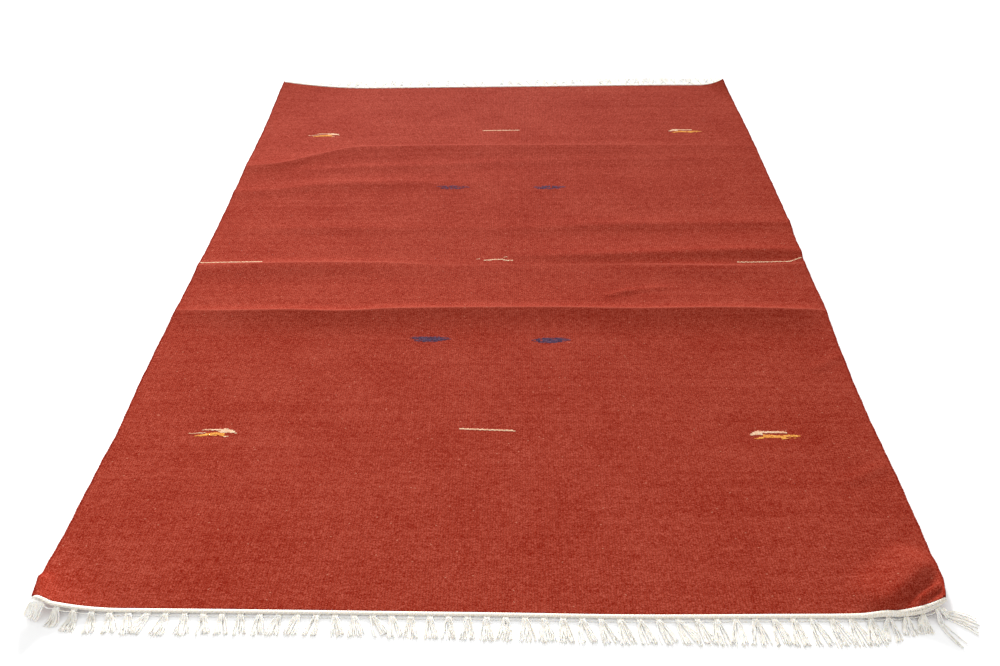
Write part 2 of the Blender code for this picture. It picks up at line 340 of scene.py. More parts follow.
def lie(u, v):
    """(x, y, underside's height) of points of the flat cloth. An end carries what is past it."""
    u, v = np.broadcast_arrays(np.asarray(u, float), np.asarray(v, float))
    on_u = np.clip(u, -HALF_WIDTH, HALF_WIDTH)
    on_v = np.clip(v, -HALF_LENGTH, HALF_LENGTH)
    strays = np.where(u > 0, along(SELVEDGES, "right", on_v), along(SELVEDGES, "left", on_v))
    bows = np.where(v > 0, along(ENDS, "far", on_u), along(ENDS, "near", on_u))
    shift_x = np.sign(u) * strays * fade(HALF_WIDTH - np.abs(on_u), EDGE_FADE)
    shift_y = np.sign(v) * bows * fade(HALF_LENGTH - np.abs(on_v), EDGE_FADE)
    height = np.zeros(u.shape)
    for fold in FOLDS + RIDGES:
        away = on_v - along(fold.crest, "v", on_u)
        height += np.maximum(0, along(fold.crest, "height", on_u)) * tent(away, fold)
    for ripple in RIPPLES:
        height += ripple.height * ripple_share(ripple, on_u, on_v)
    swell = np.sin(7.3 * on_u + 1.9 * on_v + 0.6) * np.sin(6.1 * on_v - 2.4 * on_u)
    height += SWELL_HEIGHT * (1 + swell) * (1 - fade(HALF_WIDTH - np.abs(on_u), SWELL_FADE)) / 2
    for corner in CORNERS:
        across = (HALF_WIDTH - corner.side * on_u) / corner.reach_across
        back = (HALF_LENGTH - corner.end * on_v) / corner.reach_along
        share = np.maximum(0, 1 - across - back) ** corner.curl
        height += corner.lift * share
        shift_x = shift_x - corner.side * corner.draw_across * share
        shift_y = shift_y - corner.end * corner.draw_along * share
    x = CLOTH_MIDDLE[0] + u + shift_x
    y = CLOTH_MIDDLE[1] + v + shift_y
    return np.stack([x, y, np.maximum(0, height)], axis=-1)


print("near right corner lies at", lie(HALF_WIDTH, -HALF_LENGTH).round(4))

# %% [markdown]
# ## From threads to meshes
#
# A thread, a cord and the cloth itself are all lofts: a closed ring of points, repeated along a
# path. Curve objects with a bevel could make the threads, but a rug needs well over a thousand of
# them, each with its own bend and droop, and arrays of rings build them all at once. Every piece
# also keeps thread coordinates: metres along and across its own threads, for its finish to read.

# %% Loft many rings at once
def loft_faces(threads, rings, sides):
    """Four-sided faces of many closed tubes. Each end is closed by a strip across its ring."""
    ring, side = np.meshgrid(np.arange(rings - 1), np.arange(sides), indexing="ij")
    after = (side + 1) % sides
    wall = np.stack([
        ring * sides + side,
        ring * sides + after,
        (ring + 1) * sides + after,
        (ring + 1) * sides + side,
    ], axis=-1).reshape(-1, 4)
    k = np.arange(sides // 2 - 1)
    strip = np.stack([k, sides - 1 - k, sides - 2 - k, k + 1], axis=-1)
    last = strip[:, ::-1] + (rings - 1) * sides
    faces = np.concatenate([wall, strip, last])
    starts = np.arange(threads)[:, None, None] * rings * sides
    return (faces[None] + starts).reshape(-1, 4)


def add_loft(name, rings, lays, material, tones=None):
    """A piece from rings of points, shaped (threads, rings, sides, 3), on the body of the rug."""
    threads, count, sides = rings.shape[:3]
    faces = loft_faces(threads, count, sides)
    mesh = bpy.data.meshes.new(name)
    mesh.from_pydata(rings.reshape(-1, 3).tolist(), [], faces.tolist())
    layer = mesh.uv_layers.new(name="threads")
    layer.data.foreach_set("uv", lays.reshape(-1, 2)[faces.ravel()].astype(np.float32).ravel())
    if tones is not None:
        tone = mesh.attributes.new("tone", "FLOAT", "POINT")
        spread = np.repeat(tones, count * sides).astype(np.float32)
        tone.data.foreach_set("value", spread)
    mesh.materials.append(material)
    mesh.shade_smooth()
    piece = bpy.data.objects.new(name, mesh)
    scene.collection.objects.link(piece)
    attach(piece, "root")
    print(name, "has", 2 * len(faces), "triangles")
    return piece


print("a closed tube of three rings of eight points has", len(loft_faces(1, 3, 8)), "faces")

# %% [markdown]
# ### Sweeping a yarn along a path
#
# A yarn is spun fibre, and a cord is two or more yarns turned round each other. Seen end on, two
# plies make an oval, and the oval turns as it goes along. A ring that is wider than it is high and
# turns steadily gives that rope-like edge for few faces. The frame of each ring is built from the
# path's direction and the vertical, because all of these yarns run more or less level.

# %% Rings along a path
def sweep(paths, radius, sides, flatness=1.0, turn_length=None):
    """(rings, lays) of yarns on paths shaped (threads, points, 3). A ring turns once a length."""
    tangent = np.gradient(paths, axis=1)
    tangent /= np.linalg.norm(tangent, axis=2, keepdims=True)
    beside = np.cross(tangent, (0, 0, 1))
    beside /= np.maximum(np.linalg.norm(beside, axis=2, keepdims=True), 1e-6)
    over = np.cross(beside, tangent)
    steps = np.linalg.norm(np.diff(paths, axis=1), axis=2)
    travelled = np.concatenate([np.zeros((len(paths), 1)), np.cumsum(steps, axis=1)], axis=1)
    turn = 2 * np.pi * travelled / turn_length if turn_length else np.zeros_like(travelled)
    angle = 2 * np.pi * np.arange(sides) / sides
    wide = np.cos(angle) * np.sqrt(1 / flatness)
    high = np.sin(angle) * np.sqrt(flatness)
    cos, sin = np.cos(turn)[..., None], np.sin(turn)[..., None]
    out = (wide * cos - high * sin)[..., None] * beside[:, :, None]
    out = out + (wide * sin + high * cos)[..., None] * over[:, :, None]
    radius = np.broadcast_to(np.asarray(radius, float), travelled.shape)
    rings = paths[:, :, None] + radius[..., None, None] * out
    girth = np.broadcast_to(angle * radius.mean(), rings.shape[:3])
    lays = np.stack([np.broadcast_to(travelled[..., None], rings.shape[:3]), girth], axis=-1)
    return rings, lays


straight = np.array([[(0, 0, 0), (0.01, 0, 0), (0.02, 0, 0)]], float)
print("a yarn 1 mm thick on a straight path has rings", sweep(straight, 0.0005, 8)[0].shape)

# %% [markdown]
# ## Writing finishes as sums
#
# A finish is worked out at every point of a surface by a tree of nodes. Wiring the trees by hand
# hides the arithmetic, so a small class wraps a node's output and lets Python's own signs add the
# nodes: `1 - hump * 0.3` makes a Multiply and a Subtract. Everything else goes through `node`.

# %% A wire that can be added and multiplied
class Wire:
    """One output of a node in a finish, which can be used as a number in a sum."""

    def __init__(self, tree, socket=None):
        self.tree = tree
        self.socket = socket

    def node(self, kind, settings, values, output=0):
        """A new node of this kind, set first and then fed with values or wires."""
        made = self.tree.nodes.new(kind)
        for name, value in settings.items():
            if name == "stops":
                ramp = made.color_ramp
                while len(ramp.elements) < len(value):
                    ramp.elements.new(0.5)
                for element, (place, colour) in zip(ramp.elements, value):
                    element.position = place
                    element.color = (*colour, 1)
            else:
                setattr(made, name, value)
        for name, value in values.items():
            if isinstance(value, Wire):
                self.tree.links.new(value.socket, made.inputs[name])
            else:
                made.inputs[name].default_value = value
        return Wire(self.tree, made.outputs[output])

    def feed(self, socket):
        self.tree.links.new(self.socket, socket)

    def maths(self, operation, *others):
        values = dict(enumerate((self, *others)))
        return self.node("ShaderNodeMath", {"operation": operation}, values)

    def reversed_maths(self, operation, other):
        return self.node("ShaderNodeMath", {"operation": operation}, {0: other, 1: self})

    def __add__(self, other):
        return self.maths("ADD", other)

    def __sub__(self, other):
        return self.maths("SUBTRACT", other)

    def __rsub__(self, other):
        return self.reversed_maths("SUBTRACT", other)

    def __mul__(self, other):
        return self.maths("MULTIPLY", other)

    def __truediv__(self, other):
        return self.maths("DIVIDE", other)

    def __rtruediv__(self, other):
        return self.reversed_maths("DIVIDE", other)

    def __pow__(self, other):
        return self.maths("POWER", other)

    def __mod__(self, other):
        return self.maths("FLOORED_MODULO", other)

    def __gt__(self, other):
        return self.maths("GREATER_THAN", other)

    __radd__ = __add__
    __rmul__ = __mul__


print("a Wire adds, subtracts, multiplies, divides, raises, wraps and compares")

# %% Helpers that every yarn finish uses
def linear(srgb):
    """A colour as a paint chart gives it, from 0 to 1, in the light's own scale."""
    return tuple(((c + 0.055) / 1.055) ** 2.4 if c > 0.04 else c / 12.92 for c in srgb)


def new_finish(name, roughness, sheen):
    """(material, its Principled shader, a wire to start from)."""
    material = bpy.data.materials.new(name)
    material.use_nodes = True
    shader = material.node_tree.nodes["Principled BSDF"]
    shader.inputs["Roughness"].default_value = roughness
    shader.inputs["Specular IOR Level"].default_value = 0.01
    shader.inputs["Sheen Weight"].default_value = sheen
    return material, shader, Wire(material.node_tree)


def thread_place(start):
    """(along, across): the thread coordinates of a surface, in metres."""
    lay = start.node("ShaderNodeUVMap", {"uv_map": "threads"}, {})
    parts = lay.node("ShaderNodeSeparateXYZ", {}, {"Vector": lay})
    return parts, Wire(parts.tree, parts.socket.node.outputs["Y"])


def kept_value(start, name):
    """The number that the mesh keeps at each of its points under this name."""
    return start.node("ShaderNodeAttribute", {"attribute_name": name}, {}, output="Fac")


def chance(x, y):
    """An even random number for each pair of whole numbers."""
    pair = x.node("ShaderNodeCombineXYZ", {}, {"X": x, "Y": y})
    return x.node("ShaderNodeTexWhiteNoise", {"noise_dimensions": "2D"}, {"Vector": pair})


def drift(x, y, detail=2.0):
    """Smooth noise around 0.5, with features one unit across."""
    pair = x.node("ShaderNodeCombineXYZ", {}, {"X": x, "Y": y})
    values = {"Vector": pair, "Scale": 1.0, "Detail": detail, "Roughness": 0.55}
    return x.node("ShaderNodeTexNoise", {"noise_dimensions": "2D"}, values)


def three_tones(tone, palette):
    """A colour from a dark, a middle and a pale one, picked by a number from 0 to 1."""
    stops = tuple(zip((0.0, 0.5, 1.0), palette))
    return tone.node("ShaderNodeValToRGB", {"stops": stops}, {0: tone})


def blend_colours(share, first, second):
    """The first colour where share is 0 and the second where it is 1."""
    settings = {"data_type": "RGBA"}
    return share.node("ShaderNodeMix", settings, {0: share, 6: first, 7: second}, output=2)


def shade(colour, amount):
    """A colour made lighter or darker by a number that varies."""
    grey = amount.node("ShaderNodeCombineXYZ", {}, {"X": amount, "Y": amount, "Z": amount})
    return amount.node("ShaderNodeVectorMath", {"operation": "MULTIPLY"}, {0: colour, 1: grey})


def raise_surface(shader, height, depth, strength=1.0):
    """Feeds a height from 0 to 1 to the shader, as relief this deep in metres."""
    values = {"Height": height, "Distance": depth, "Strength": strength}
    bump = height.node("ShaderNodeBump", {}, values)
    bump.feed(shader.inputs["Normal"])


print("brick red in the light's scale:", tuple(round(c, 3) for c in linear((0.655, 0.25, 0.19))))

# %% [markdown]
# ## The woven wool
#
# A kilim is weft-faced: the wool weft is beaten down until it hides the cotton warps. What shows is
# a rib over each warp, made of small wool beads, and the beads of neighbouring ribs are stepped by
# half a bead. An image of wool could be tiled over the rug, but it would repeat. Here each bead is
# found by arithmetic from the thread coordinates, so each gets a tone of its own. The wool itself
# was carded from several shades, so it is also mottled, with the odd pale hair left in.

# %% Wool of the field
WARP_PITCH = WIDTH / 311
WEFT_PITCH = 0.0016
WOOL_DARK = linear((0.465, 0.071, 0.018))
WOOL_RED = linear((0.571, 0.204, 0.136))
WOOL_PALE = linear((0.672, 0.308, 0.246))
WOOL_HAIR = linear((0.772, 0.509, 0.418))
RELIEF = 0.0006


def weave(u, v):
    """(rib's number, bead's number, hump of the bead) at a place in the cloth."""
    across = u / WARP_PITCH
    rib = across.maths("FLOOR")
    place = v / WEFT_PITCH + (rib % 2.0) * 0.5
    bead = place.maths("FLOOR")
    over_warp = (across.maths("FRACT") * math.pi).maths("SINE") ** 0.5
    round_yarn = (place.maths("FRACT") * math.pi).maths("SINE") ** 0.7
    return rib, bead, over_warp * round_yarn


def woollen(name, palette, hairs):
    """Weft-faced wool of these three tones, with this share of pale hairs."""
    material, shader, start = new_finish(name, roughness=0.92, sheen=0.001)
    u, v = thread_place(start)
    rib, bead, hump = weave(u, v)
    bead_tone = chance(rib, bead) - 0.5
    glint = chance(bead, rib + 0.5) ** 12.0
    fleck = chance((u / 0.0013).maths("FLOOR"), (v / 0.0008).maths("FLOOR")) - 0.5
    streak = drift(u / 0.0030, v / 0.0013) - 0.5
    mottle = drift(u / 0.018, v / 0.014, detail=3.0) - 0.5
    dye_band = drift(u * 1.1, v / 0.0085) - 0.5
    worn = drift(u / 0.16, v / 0.13, detail=3.0) - 0.5
    tone = 0.46 + (fleck * 0.9 + bead_tone * 0.35 + streak * 0.55 + glint * 0.3)
    tone = tone + mottle * 0.32 + dye_band * 0.30 + worn * 0.34
    # Painted shade: each bead is darkened towards its edges, in the gaps between beads and ribs, and
    # brightened a little on its top.
    colour = shade(three_tones(tone, palette), 0.74 + hump * 0.32)
    # Paler along the crests: partly rubbed wear, partly a painted highlight.
    colour = blend_colours(kept_value(start, "crest") * 0.65, colour, (*WOOL_PALE, 1))
    hair_cell = (u / 0.0026 + chance(bead, bead * 0.37) * 5.0).maths("FLOOR")
    hair = (chance(hair_cell, bead + 0.5) > 1 - hairs) * 0.6
    colour = blend_colours(hair, colour, (*WOOL_HAIR, 1))
    colour.feed(shader.inputs["Base Color"])
    fibre = drift(u / 0.0011, v / 0.0004)
    raise_surface(shader, hump * 0.8 + fibre * 0.2 + tone * 0.15, RELIEF, strength=0.8)
    return material


WOOL_TONES = (WOOL_DARK, WOOL_RED, WOOL_PALE)
wool_finish = woollen("brick_red_wool", WOOL_TONES, hairs=0.0008)
print("ribs", round(1000 * WARP_PITCH, 2), "mm apart, beads", 1000 * WEFT_PITCH, "mm high")

# %% [markdown]
# ## The cloth
#
# The cloth is one closed sheet, top and underside, on a grid fine enough for the creases to curve.
# A plane with a Solidify modifier would do nearly as well, but it would thicken the raised corners
# at a slant and square off the edges. Each row of the grid is one ring of the loft: across the top
# from left to right and back along the underside, drawn together at both sides to round the edge.
# The rows follow the creases, so that no crease is cut into steps, and lie close together there.

# %% Weave the sheet
CLOTH_STEP = 0.0092
EDGE_ROUND = 0.0016
EDGE_STOPS = np.array((0.0, 0.0003, 0.0008, 0.0016, 0.0030, 0.0060))
CREST_STOPS = np.array((0.0, 0.0012, 0.0030, 0.0060))
ROWS = (92, 26, 66, 48)
# The crests' wear and painted highlight are full on a crease this high, and fade over this reach.
WEAR_AND_HIGHLIGHT_HEIGHT = 0.006
WEAR_AND_HIGHLIGHT_REACH = 0.0026

inner = HALF_WIDTH - EDGE_STOPS[-1]
middle_stops = np.linspace(-inner, inner, round(2 * inner / CLOTH_STEP) + 1)
left_stops = -HALF_WIDTH + EDGE_STOPS[:-1]
columns = np.concatenate([left_stops, middle_stops, -left_stops[::-1]])


def rows_between(low, high, after_low, before_high, count):
    """Rows of the grid from one line across the cloth to the next, given as v at every column."""
    even = np.linspace(0, 1, count)[:, None]
    start, stop = low + after_low[-1], high - before_high[-1]
    first = low + after_low[:-1, None]
    last = high - before_high[-2::-1, None]
    return np.concatenate([first, start + (stop - start) * even, last])


lines = [np.full(len(columns), -HALF_LENGTH)]
lines += [along(fold.crest, "v", columns) for fold in FOLDS]
lines += [np.full(len(columns), HALF_LENGTH)]
stops = [EDGE_STOPS, CREST_STOPS, CREST_STOPS, CREST_STOPS, EDGE_STOPS]
bands = [
    rows_between(lines[i], lines[i + 1], stops[i], stops[i + 1], count)
    for i, count in enumerate(ROWS)
]
grid_v = np.concatenate([bands[0]] + [band[1:] for band in bands[1:]])
grid_u = np.broadcast_to(columns, grid_v.shape)


def rounded(distance):
    """Half the cloth's thickness at this distance from its edge."""
    t = np.clip(1 - distance / EDGE_ROUND, 0, 1)
    return CLOTH_THICKNESS / 2 * (0.25 + 0.75 * np.sqrt(1 - t * t))


half = np.minimum(rounded(HALF_WIDTH - np.abs(grid_u)), rounded(HALF_LENGTH - np.abs(grid_v)))
middle = lie(grid_u, grid_v) + (0, 0, CLOTH_THICKNESS / 2)
lift = np.stack([np.zeros_like(half), np.zeros_like(half), half], axis=-1)
sheet_rings = np.concatenate([middle + lift, (middle - lift)[:, ::-1]], axis=1)
flat_lay = np.stack([grid_u, grid_v], axis=-1)
sheet_lay = np.concatenate([flat_lay, flat_lay[:, ::-1]], axis=1)
cloth = add_loft("woven_cloth", sheet_rings[None], sheet_lay[None], wool_finish)
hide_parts("kilim_cloth")

# The finish reads this to pale the wool along each crest: partly wear where a crest was
# rubbed, partly a painted highlight where the crest catches the light.
crest = np.zeros(grid_v.shape)
for fold in FOLDS:
    away = grid_v - along(fold.crest, "v", grid_u)
    pressed = np.minimum(1, along(fold.crest, "height", grid_u) / WEAR_AND_HIGHLIGHT_HEIGHT)
    crest = np.maximum(crest, pressed * np.exp(-(away / WEAR_AND_HIGHLIGHT_REACH) ** 2))
crest = np.concatenate([crest, 0 * crest], axis=1)
crest_wear_and_highlight = cloth.data.attributes.new("crest", "FLOAT", "POINT")
crest_wear_and_highlight.data.foreach_set("value", crest.astype(np.float32).ravel())
print(len(grid_v), "rows of", len(columns), "columns")

# %% [markdown]
# ## The selvedges
#
# At each side the weft turns back round the last few warps, which are bundled to take the wear. The
# edge is therefore a firm bead, thicker than the cloth, with a small bump for each turn of weft. It
# is swept as one thick thread whose girth swells at every turn.

# %% Wrap the outermost warps
SELVEDGE_RADIUS = 0.0020
SELVEDGE_IN = 0.0012
TURN_PITCH = 2 * WEFT_PITCH
TURN_SWELL = 0.16


def selvedge(name, side):
    """One bound edge, on the left where side is -1 and on the right where it is 1."""
    v = np.linspace(-HALF_LENGTH, HALF_LENGTH, round(LENGTH / TURN_PITCH * 4) + 1)
    path = lie(side * (HALF_WIDTH - SELVEDGE_IN), v)
    path[:, 0] += 0.00035 * np.sin(v / 0.0171) + 0.0003 * np.sin(v / 0.0063 + side)
    path[:, 2] += SELVEDGE_RADIUS * 0.97
    bump = np.abs(np.sin(np.pi * v / TURN_PITCH))
    uneven = 0.06 * np.sin(v * 911 + side) + 0.05 * np.sin(v * 377)
    radius = SELVEDGE_RADIUS * (1 - TURN_SWELL / 2 + TURN_SWELL * bump + uneven)
    rings, lays = sweep(path[None], radius[None], sides=8)
    rings[..., 2] = np.maximum(rings[..., 2], 0)
    return add_loft(name, rings, lays, selvedge_finish)


def wrapped_wool(name):
    """Wool wound round a core: a tone for every turn, and painted shade in the creases between
    turns.
    """
    material, shader, start = new_finish(name, roughness=0.92, sheen=0.01)
    along_edge, around = thread_place(start)
    turn = (along_edge / TURN_PITCH).maths("FLOOR")
    hump = ((along_edge / TURN_PITCH).maths("FRACT") * math.pi).maths("SINE") ** 0.5
    streak = drift(around / 0.002 + turn * 3.1, turn * 5.3) - 0.5
    tone = 0.36 + (chance(turn, turn + 0.5) - 0.5) * 0.5 + streak * 0.5
    # Painted shade: each turn is darkened towards the creases on either side of it.
    colour = shade(three_tones(tone, WOOL_TONES), 0.66 + hump * 0.34)
    colour.feed(shader.inputs["Base Color"])
    raise_surface(shader, hump, RELIEF, strength=0.7)
    return material


selvedge_finish = wrapped_wool("selvedge_wool")
left_selvedge = selvedge("left_selvedge", -1)
right_selvedge = selvedge("right_selvedge", 1)

# %% [markdown]
# ## Dyed and undyed inlay
#
# The small figures are woven in, not embroidered: over a few warps the weaver swaps the red weft
# for another yarn and beats it down like the rest. So a figure is a stack of short passes, one for
# each row of weft, and a chart on squared paper is all that is needed to weave it. Each pass of a
# chart here names its yarn, its row of weft, and where it starts and ends in millimetres.

# %% Charts of the figures
Pass = namedtuple("Pass", "row start end yarn")


def passes(yarn, *spans):
    """Passes of one yarn, each given as its row, its start and its end."""
    return tuple(Pass(*span, yarn) for span in spans)


LEFT_ANIMAL = passes(
    "undyed", (0, 67, 79), (5, 0, 16), (6, 12, 30), (6, 84, 90), (7, 60, 86), (8, 56, 86),
    (9, 54, 84), (10, 57, 82), (11, 24, 80), (12, 26, 74), (13, 62, 72),
) + passes(
    "gold", (1, 15, 32), (1, 64, 73), (2, 18, 70), (3, 24, 68), (4, 30, 70), (5, 34, 70),
    (6, 40, 64), (7, 48, 56),
)
RIGHT_ANIMAL = passes(
    "gold", (0, 8, 18), (0, 55, 66), (1, 12, 24), (1, 58, 72), (1, 77, 82), (2, 16, 66),
    (3, 20, 66), (4, 24, 94), (5, 26, 90), (6, 26, 42), (6, 66, 88),
) + passes(
    "undyed", (6, 0, 9), (7, 1, 14), (7, 17, 26), (8, 4, 25), (9, 6, 26), (10, 8, 68),
    (11, 10, 68), (12, 11, 66), (13, 14, 26),
)
LEFT_LOZENGE = passes(
    "blue", (0, 17, 54), (1, 14, 62), (2, 12, 68), (3, 12, 74), (4, 11, 80), (5, 9, 88),
    (6, 7, 91), (7, 2, 88), (8, 0, 84), (9, 6, 78), (10, 12, 66),
)
RIGHT_LOZENGE = passes(
    "blue", (0, 24, 58), (1, 16, 64), (2, 10, 70), (3, 6, 74), (4, 2, 78), (5, 0, 82), (6, 3, 86),
    (7, 6, 87), (8, 8, 84), (9, 12, 80), (10, 24, 70),
)
BAR = passes("undyed", (0, 0, 105), (1, 2, 102))
SIDE_LINE = passes("undyed", (0, 0, 148), (1, 0, 147))
SHORT_LINE = passes("undyed", (0, 0, 121), (1, 0, 120))
# This one carries the short line on to the right selvedge.
SIDE_TAIL = passes("undyed", (0, 0, 32), (1, 0, 32))
BROKEN_LINE = passes(
    "undyed", (4, 0, 8), (0, 16, 34), (1, 18, 34), (2, 33, 66), (3, 34, 64), (0, 64, 84),
    (-1, 66, 85), (9, 62, 73),
)
print("the animals take", len(LEFT_ANIMAL), "and", len(RIGHT_ANIMAL), "passes")

# %% Places of the figures
# facing 1 runs a chart towards +u and -1 mirrors it. slope is how far its line climbs, end to end.
# cover is the share of its beads that are laid: where it is less, the red of the cloth shows.
Figure = namedtuple("Figure", "chart u v facing slope cover", defaults=(1.0,))
FIGURES = (
    Figure(LEFT_ANIMAL, -0.563, -0.617, 1, 0.000),
    Figure(RIGHT_ANIMAL, 0.466, -0.619, 1, 0.000),
    Figure(LEFT_ANIMAL, -0.563, 0.644, 1, 0.000),
    Figure(RIGHT_ANIMAL, 0.472, 0.662, 1, 0.000),
    Figure(LEFT_LOZENGE, -0.182, -0.329, 1, 0.000),
    Figure(RIGHT_LOZENGE, 0.069, -0.333, 1, 0.002),
    Figure(LEFT_LOZENGE, -0.172, 0.329, 1, 0.000, 0.60),
    Figure(RIGHT_LOZENGE, 0.079, 0.328, 1, 0.000, 0.70),
    Figure(BAR, -0.064, -0.595, 1, -0.005),
    Figure(BAR, -0.061, 0.678, 1, 0.002),
    Figure(SIDE_LINE, -0.697, -0.0320, 1, 0.000),
    Figure(SHORT_LINE, 0.664, -0.0300, -1, -0.004),
    Figure(SIDE_TAIL, 0.666, -0.0298, 1, 0.018),
    Figure(BROKEN_LINE, -0.054, -0.019, 1, 0.000),
)
# What each yarn covers of a full figure, and how much thinner it gets towards the figure's ends.
COVER = {"undyed": 1.0, "gold": 0.98, "blue": 0.95}
THIN_ENDS = {"undyed": 0.0, "gold": 0.0, "blue": 0.75}
print(len(FIGURES), "figures")

# %% [markdown]
# ### One bead at a time
#
# A pass of inlay makes the same beads as the red weft round it, one on each rib and stepped by half
# a bead from rib to rib, but a little proud because the inlay yarn is thicker. Colouring the
# cloth's own finish would be quicker, but then the figures would be print. Each bead is a short fat
# yarn, sunk most of the way into the cloth.

# %% Lay the beads
BEAD_RINGS = 6
BEAD_SIDES = 6
BEAD_WIDTH = 0.00118
BEAD_STAND = 0.00030


def beads_of(figure, yarn, rng):
    """Bead centres of one yarn's passes as rows of u and v, in the flat cloth."""
    made = []
    chart_length = max(p.end for p in figure.chart) / 1000
    for p in figure.chart:
        if p.yarn != yarn:
            continue
        ends = sorted(figure.u + figure.facing * place / 1000 for place in (p.start, p.end))
        first, last = (round(place / WARP_PITCH) for place in ends)
        for rib in range(first, max(last, first + 1)):
            centre = (rib + 0.5) * WARP_PITCH
            off_middle = abs(2 * abs(centre - figure.u) / chart_length - 1)
            cover = figure.cover * COVER[yarn] * (1 - THIN_ENDS[yarn] * off_middle**4)
            if rng.random() > cover:
                continue
            climb = figure.slope * abs(centre - figure.u) / chart_length
            made.append((centre, figure.v + (p.row + rib % 2 / 2) * WEFT_PITCH + climb))
    return made


def inlay(name, yarn, material):
    """All the beads of one yarn as one piece."""
    rng = np.random.default_rng(len(yarn))
    centres = np.array([bead for figure in FIGURES for bead in beads_of(figure, yarn, rng)])
    count = len(centres)
    t = np.linspace(-1, 1, BEAD_RINGS)
    u = centres[:, :1] + t * WARP_PITCH * 0.60
    v = centres[:, 1:] + rng.normal(0, 0.00012, (count, 1)) + rng.normal(0, 0.0001, (count, 1)) * t
    path = lie(u, v)
    dome = np.sqrt(np.maximum(0, 1 - (t * 0.97) ** 2))
    path[:, :, 2] += CLOTH_THICKNESS - BEAD_WIDTH + BEAD_STAND * (0.35 + 1.3 * dome)
    fat = BEAD_WIDTH * (0.65 + 0.42 * dome) * rng.uniform(0.88, 1.12, (count, 1))
    rings, lays = sweep(path, fat, BEAD_SIDES)
    return add_loft(name, rings, lays, material, rng.random(count))


print("a bead is", round(2000 * BEAD_WIDTH, 1), "mm thick")

# %% [markdown]
# ### Inlay yarns
#
# All three inlay yarns are handspun wool, so no two beads are quite alike, and an even colour would
# look like paint. One function makes the finish for each yarn, from its dark, middle and pale
# tones, and the bead's own tone picks between them.

# %% Finish and weave the inlays
def inlay_wool(name, palette):
    material, shader, start = new_finish(name, roughness=0.9, sheen=0.03)
    bead = kept_value(start, "tone")
    along_yarn, around = thread_place(start)
    fibre = drift(along_yarn / 0.0016, around / 0.0005, detail=3.0)
    tone = 0.5 + (bead - 0.5) * 0.7 + (fibre - 0.5) * 0.8
    three_tones(tone, palette).feed(shader.inputs["Base Color"])
    raise_surface(shader, fibre, 0.0003, strength=0.6)
    return material


UNDYED = [linear(c) for c in ((0.770, 0.513, 0.398), (0.856, 0.722, 0.589), (0.899, 0.818, 0.699))]
GOLD = [linear(c) for c in ((0.722, 0.369, 0.150), (0.856, 0.589, 0.265), (0.899, 0.699, 0.379))]
BLUE = [linear(c) for c in ((0.203, 0.110, 0.159), (0.274, 0.208, 0.307), (0.424, 0.301, 0.360))]
undyed_inlay = inlay("undyed_inlay", "undyed", inlay_wool("undyed_wool", UNDYED))
gold_inlay = inlay("gold_inlay", "gold", inlay_wool("gold_wool", GOLD))
blue_inlay = inlay("blue_inlay", "blue", inlay_wool("blue_wool", BLUE))

# %% [markdown]
# ## The cotton ends
#
# Past the last row of wool the bare cotton warps are locked by a row of twining, a fat two-strand
# rope that keeps the weft from sliding off. They are then gathered in bunches over a thin running
# cord and left loose as tassels. Each of these is its own piece at each end.
#
# Undyed cotton is so pale that light goes a little way in, which keeps the gaps between yarns from
# going dark. A subsurface scale below a yarn's thickness gives that, and a larger one would turn
# thin yarns grey.

# %% Finishes of the cotton
def cotton_finish(name, palette, ply_length):
    """Undyed cotton plied from two strands that turn once in this length."""
    material, shader, start = new_finish(name, roughness=0.88, sheen=0.03)
    shader.inputs["Subsurface Weight"].default_value = 0.6
    shader.inputs["Subsurface Radius"].default_value = (0.7, 0.8, 1.0)
    shader.inputs["Subsurface Scale"].default_value = 0.0007
    thread = kept_value(start, "tone")
    along_yarn, around = thread_place(start)
    ply = ((along_yarn / ply_length + around / 0.0052) * 2 * math.pi * 2).maths("SINE")
    fibre = drift(along_yarn / 0.0030, around / 0.0006, detail=3.0)
    tone = 0.55 + (thread - 0.5) * 0.5 + (fibre - 0.5) * 0.8
    three_tones(tone, palette).feed(shader.inputs["Base Color"])
    raise_surface(shader, ply * 0.5 + fibre * 0.5, 0.0002, strength=0.4)
    return material


TWINE = [linear(c) for c in ((0.815, 0.775, 0.708), (0.880, 0.853, 0.805), (0.930, 0.914, 0.880))]
TASSEL = [linear(c) for c in ((0.912, 0.888, 0.842), (0.955, 0.941, 0.910), (0.978, 0.971, 0.952))]
twine_cotton = cotton_finish("twine_cotton", TWINE, ply_length=0.006)
tassel_cotton = cotton_finish("tassel_cotton", TASSEL, ply_length=0.008)
print("the twining is", round(TWINE[1][1] / TASSEL[1][1], 2), "times as bright as the tassels")

# %% Twined ridge and running cord
TASSELS = 49
PITCH = WIDTH / TASSELS
PIECE_GAP = 0.0003
RIDGE_DEPTH = 0.0072
GATHER_DEPTH = 0.0034
CORD_DEPTH = 0.0016
RIDGE_MIDDLE = PIECE_GAP + RIDGE_DEPTH / 2
RIDGE_OUT = PIECE_GAP + RIDGE_DEPTH
CORD_MIDDLE = RIDGE_OUT + GATHER_DEPTH + CORD_DEPTH / 2
DROOP_FROM = 0.014
STRAND_RADIUS = 0.00165
STRAND_SWING = 0.00130
TWINE_LENGTH = 0.0076
TWINE_HEIGHT = 0.0030
CORD_RADIUS = 0.00075
CORD_RISE = 0.0016
CORD_IN = 0.004
Ply = namedtuple("Ply", "u near far droop")
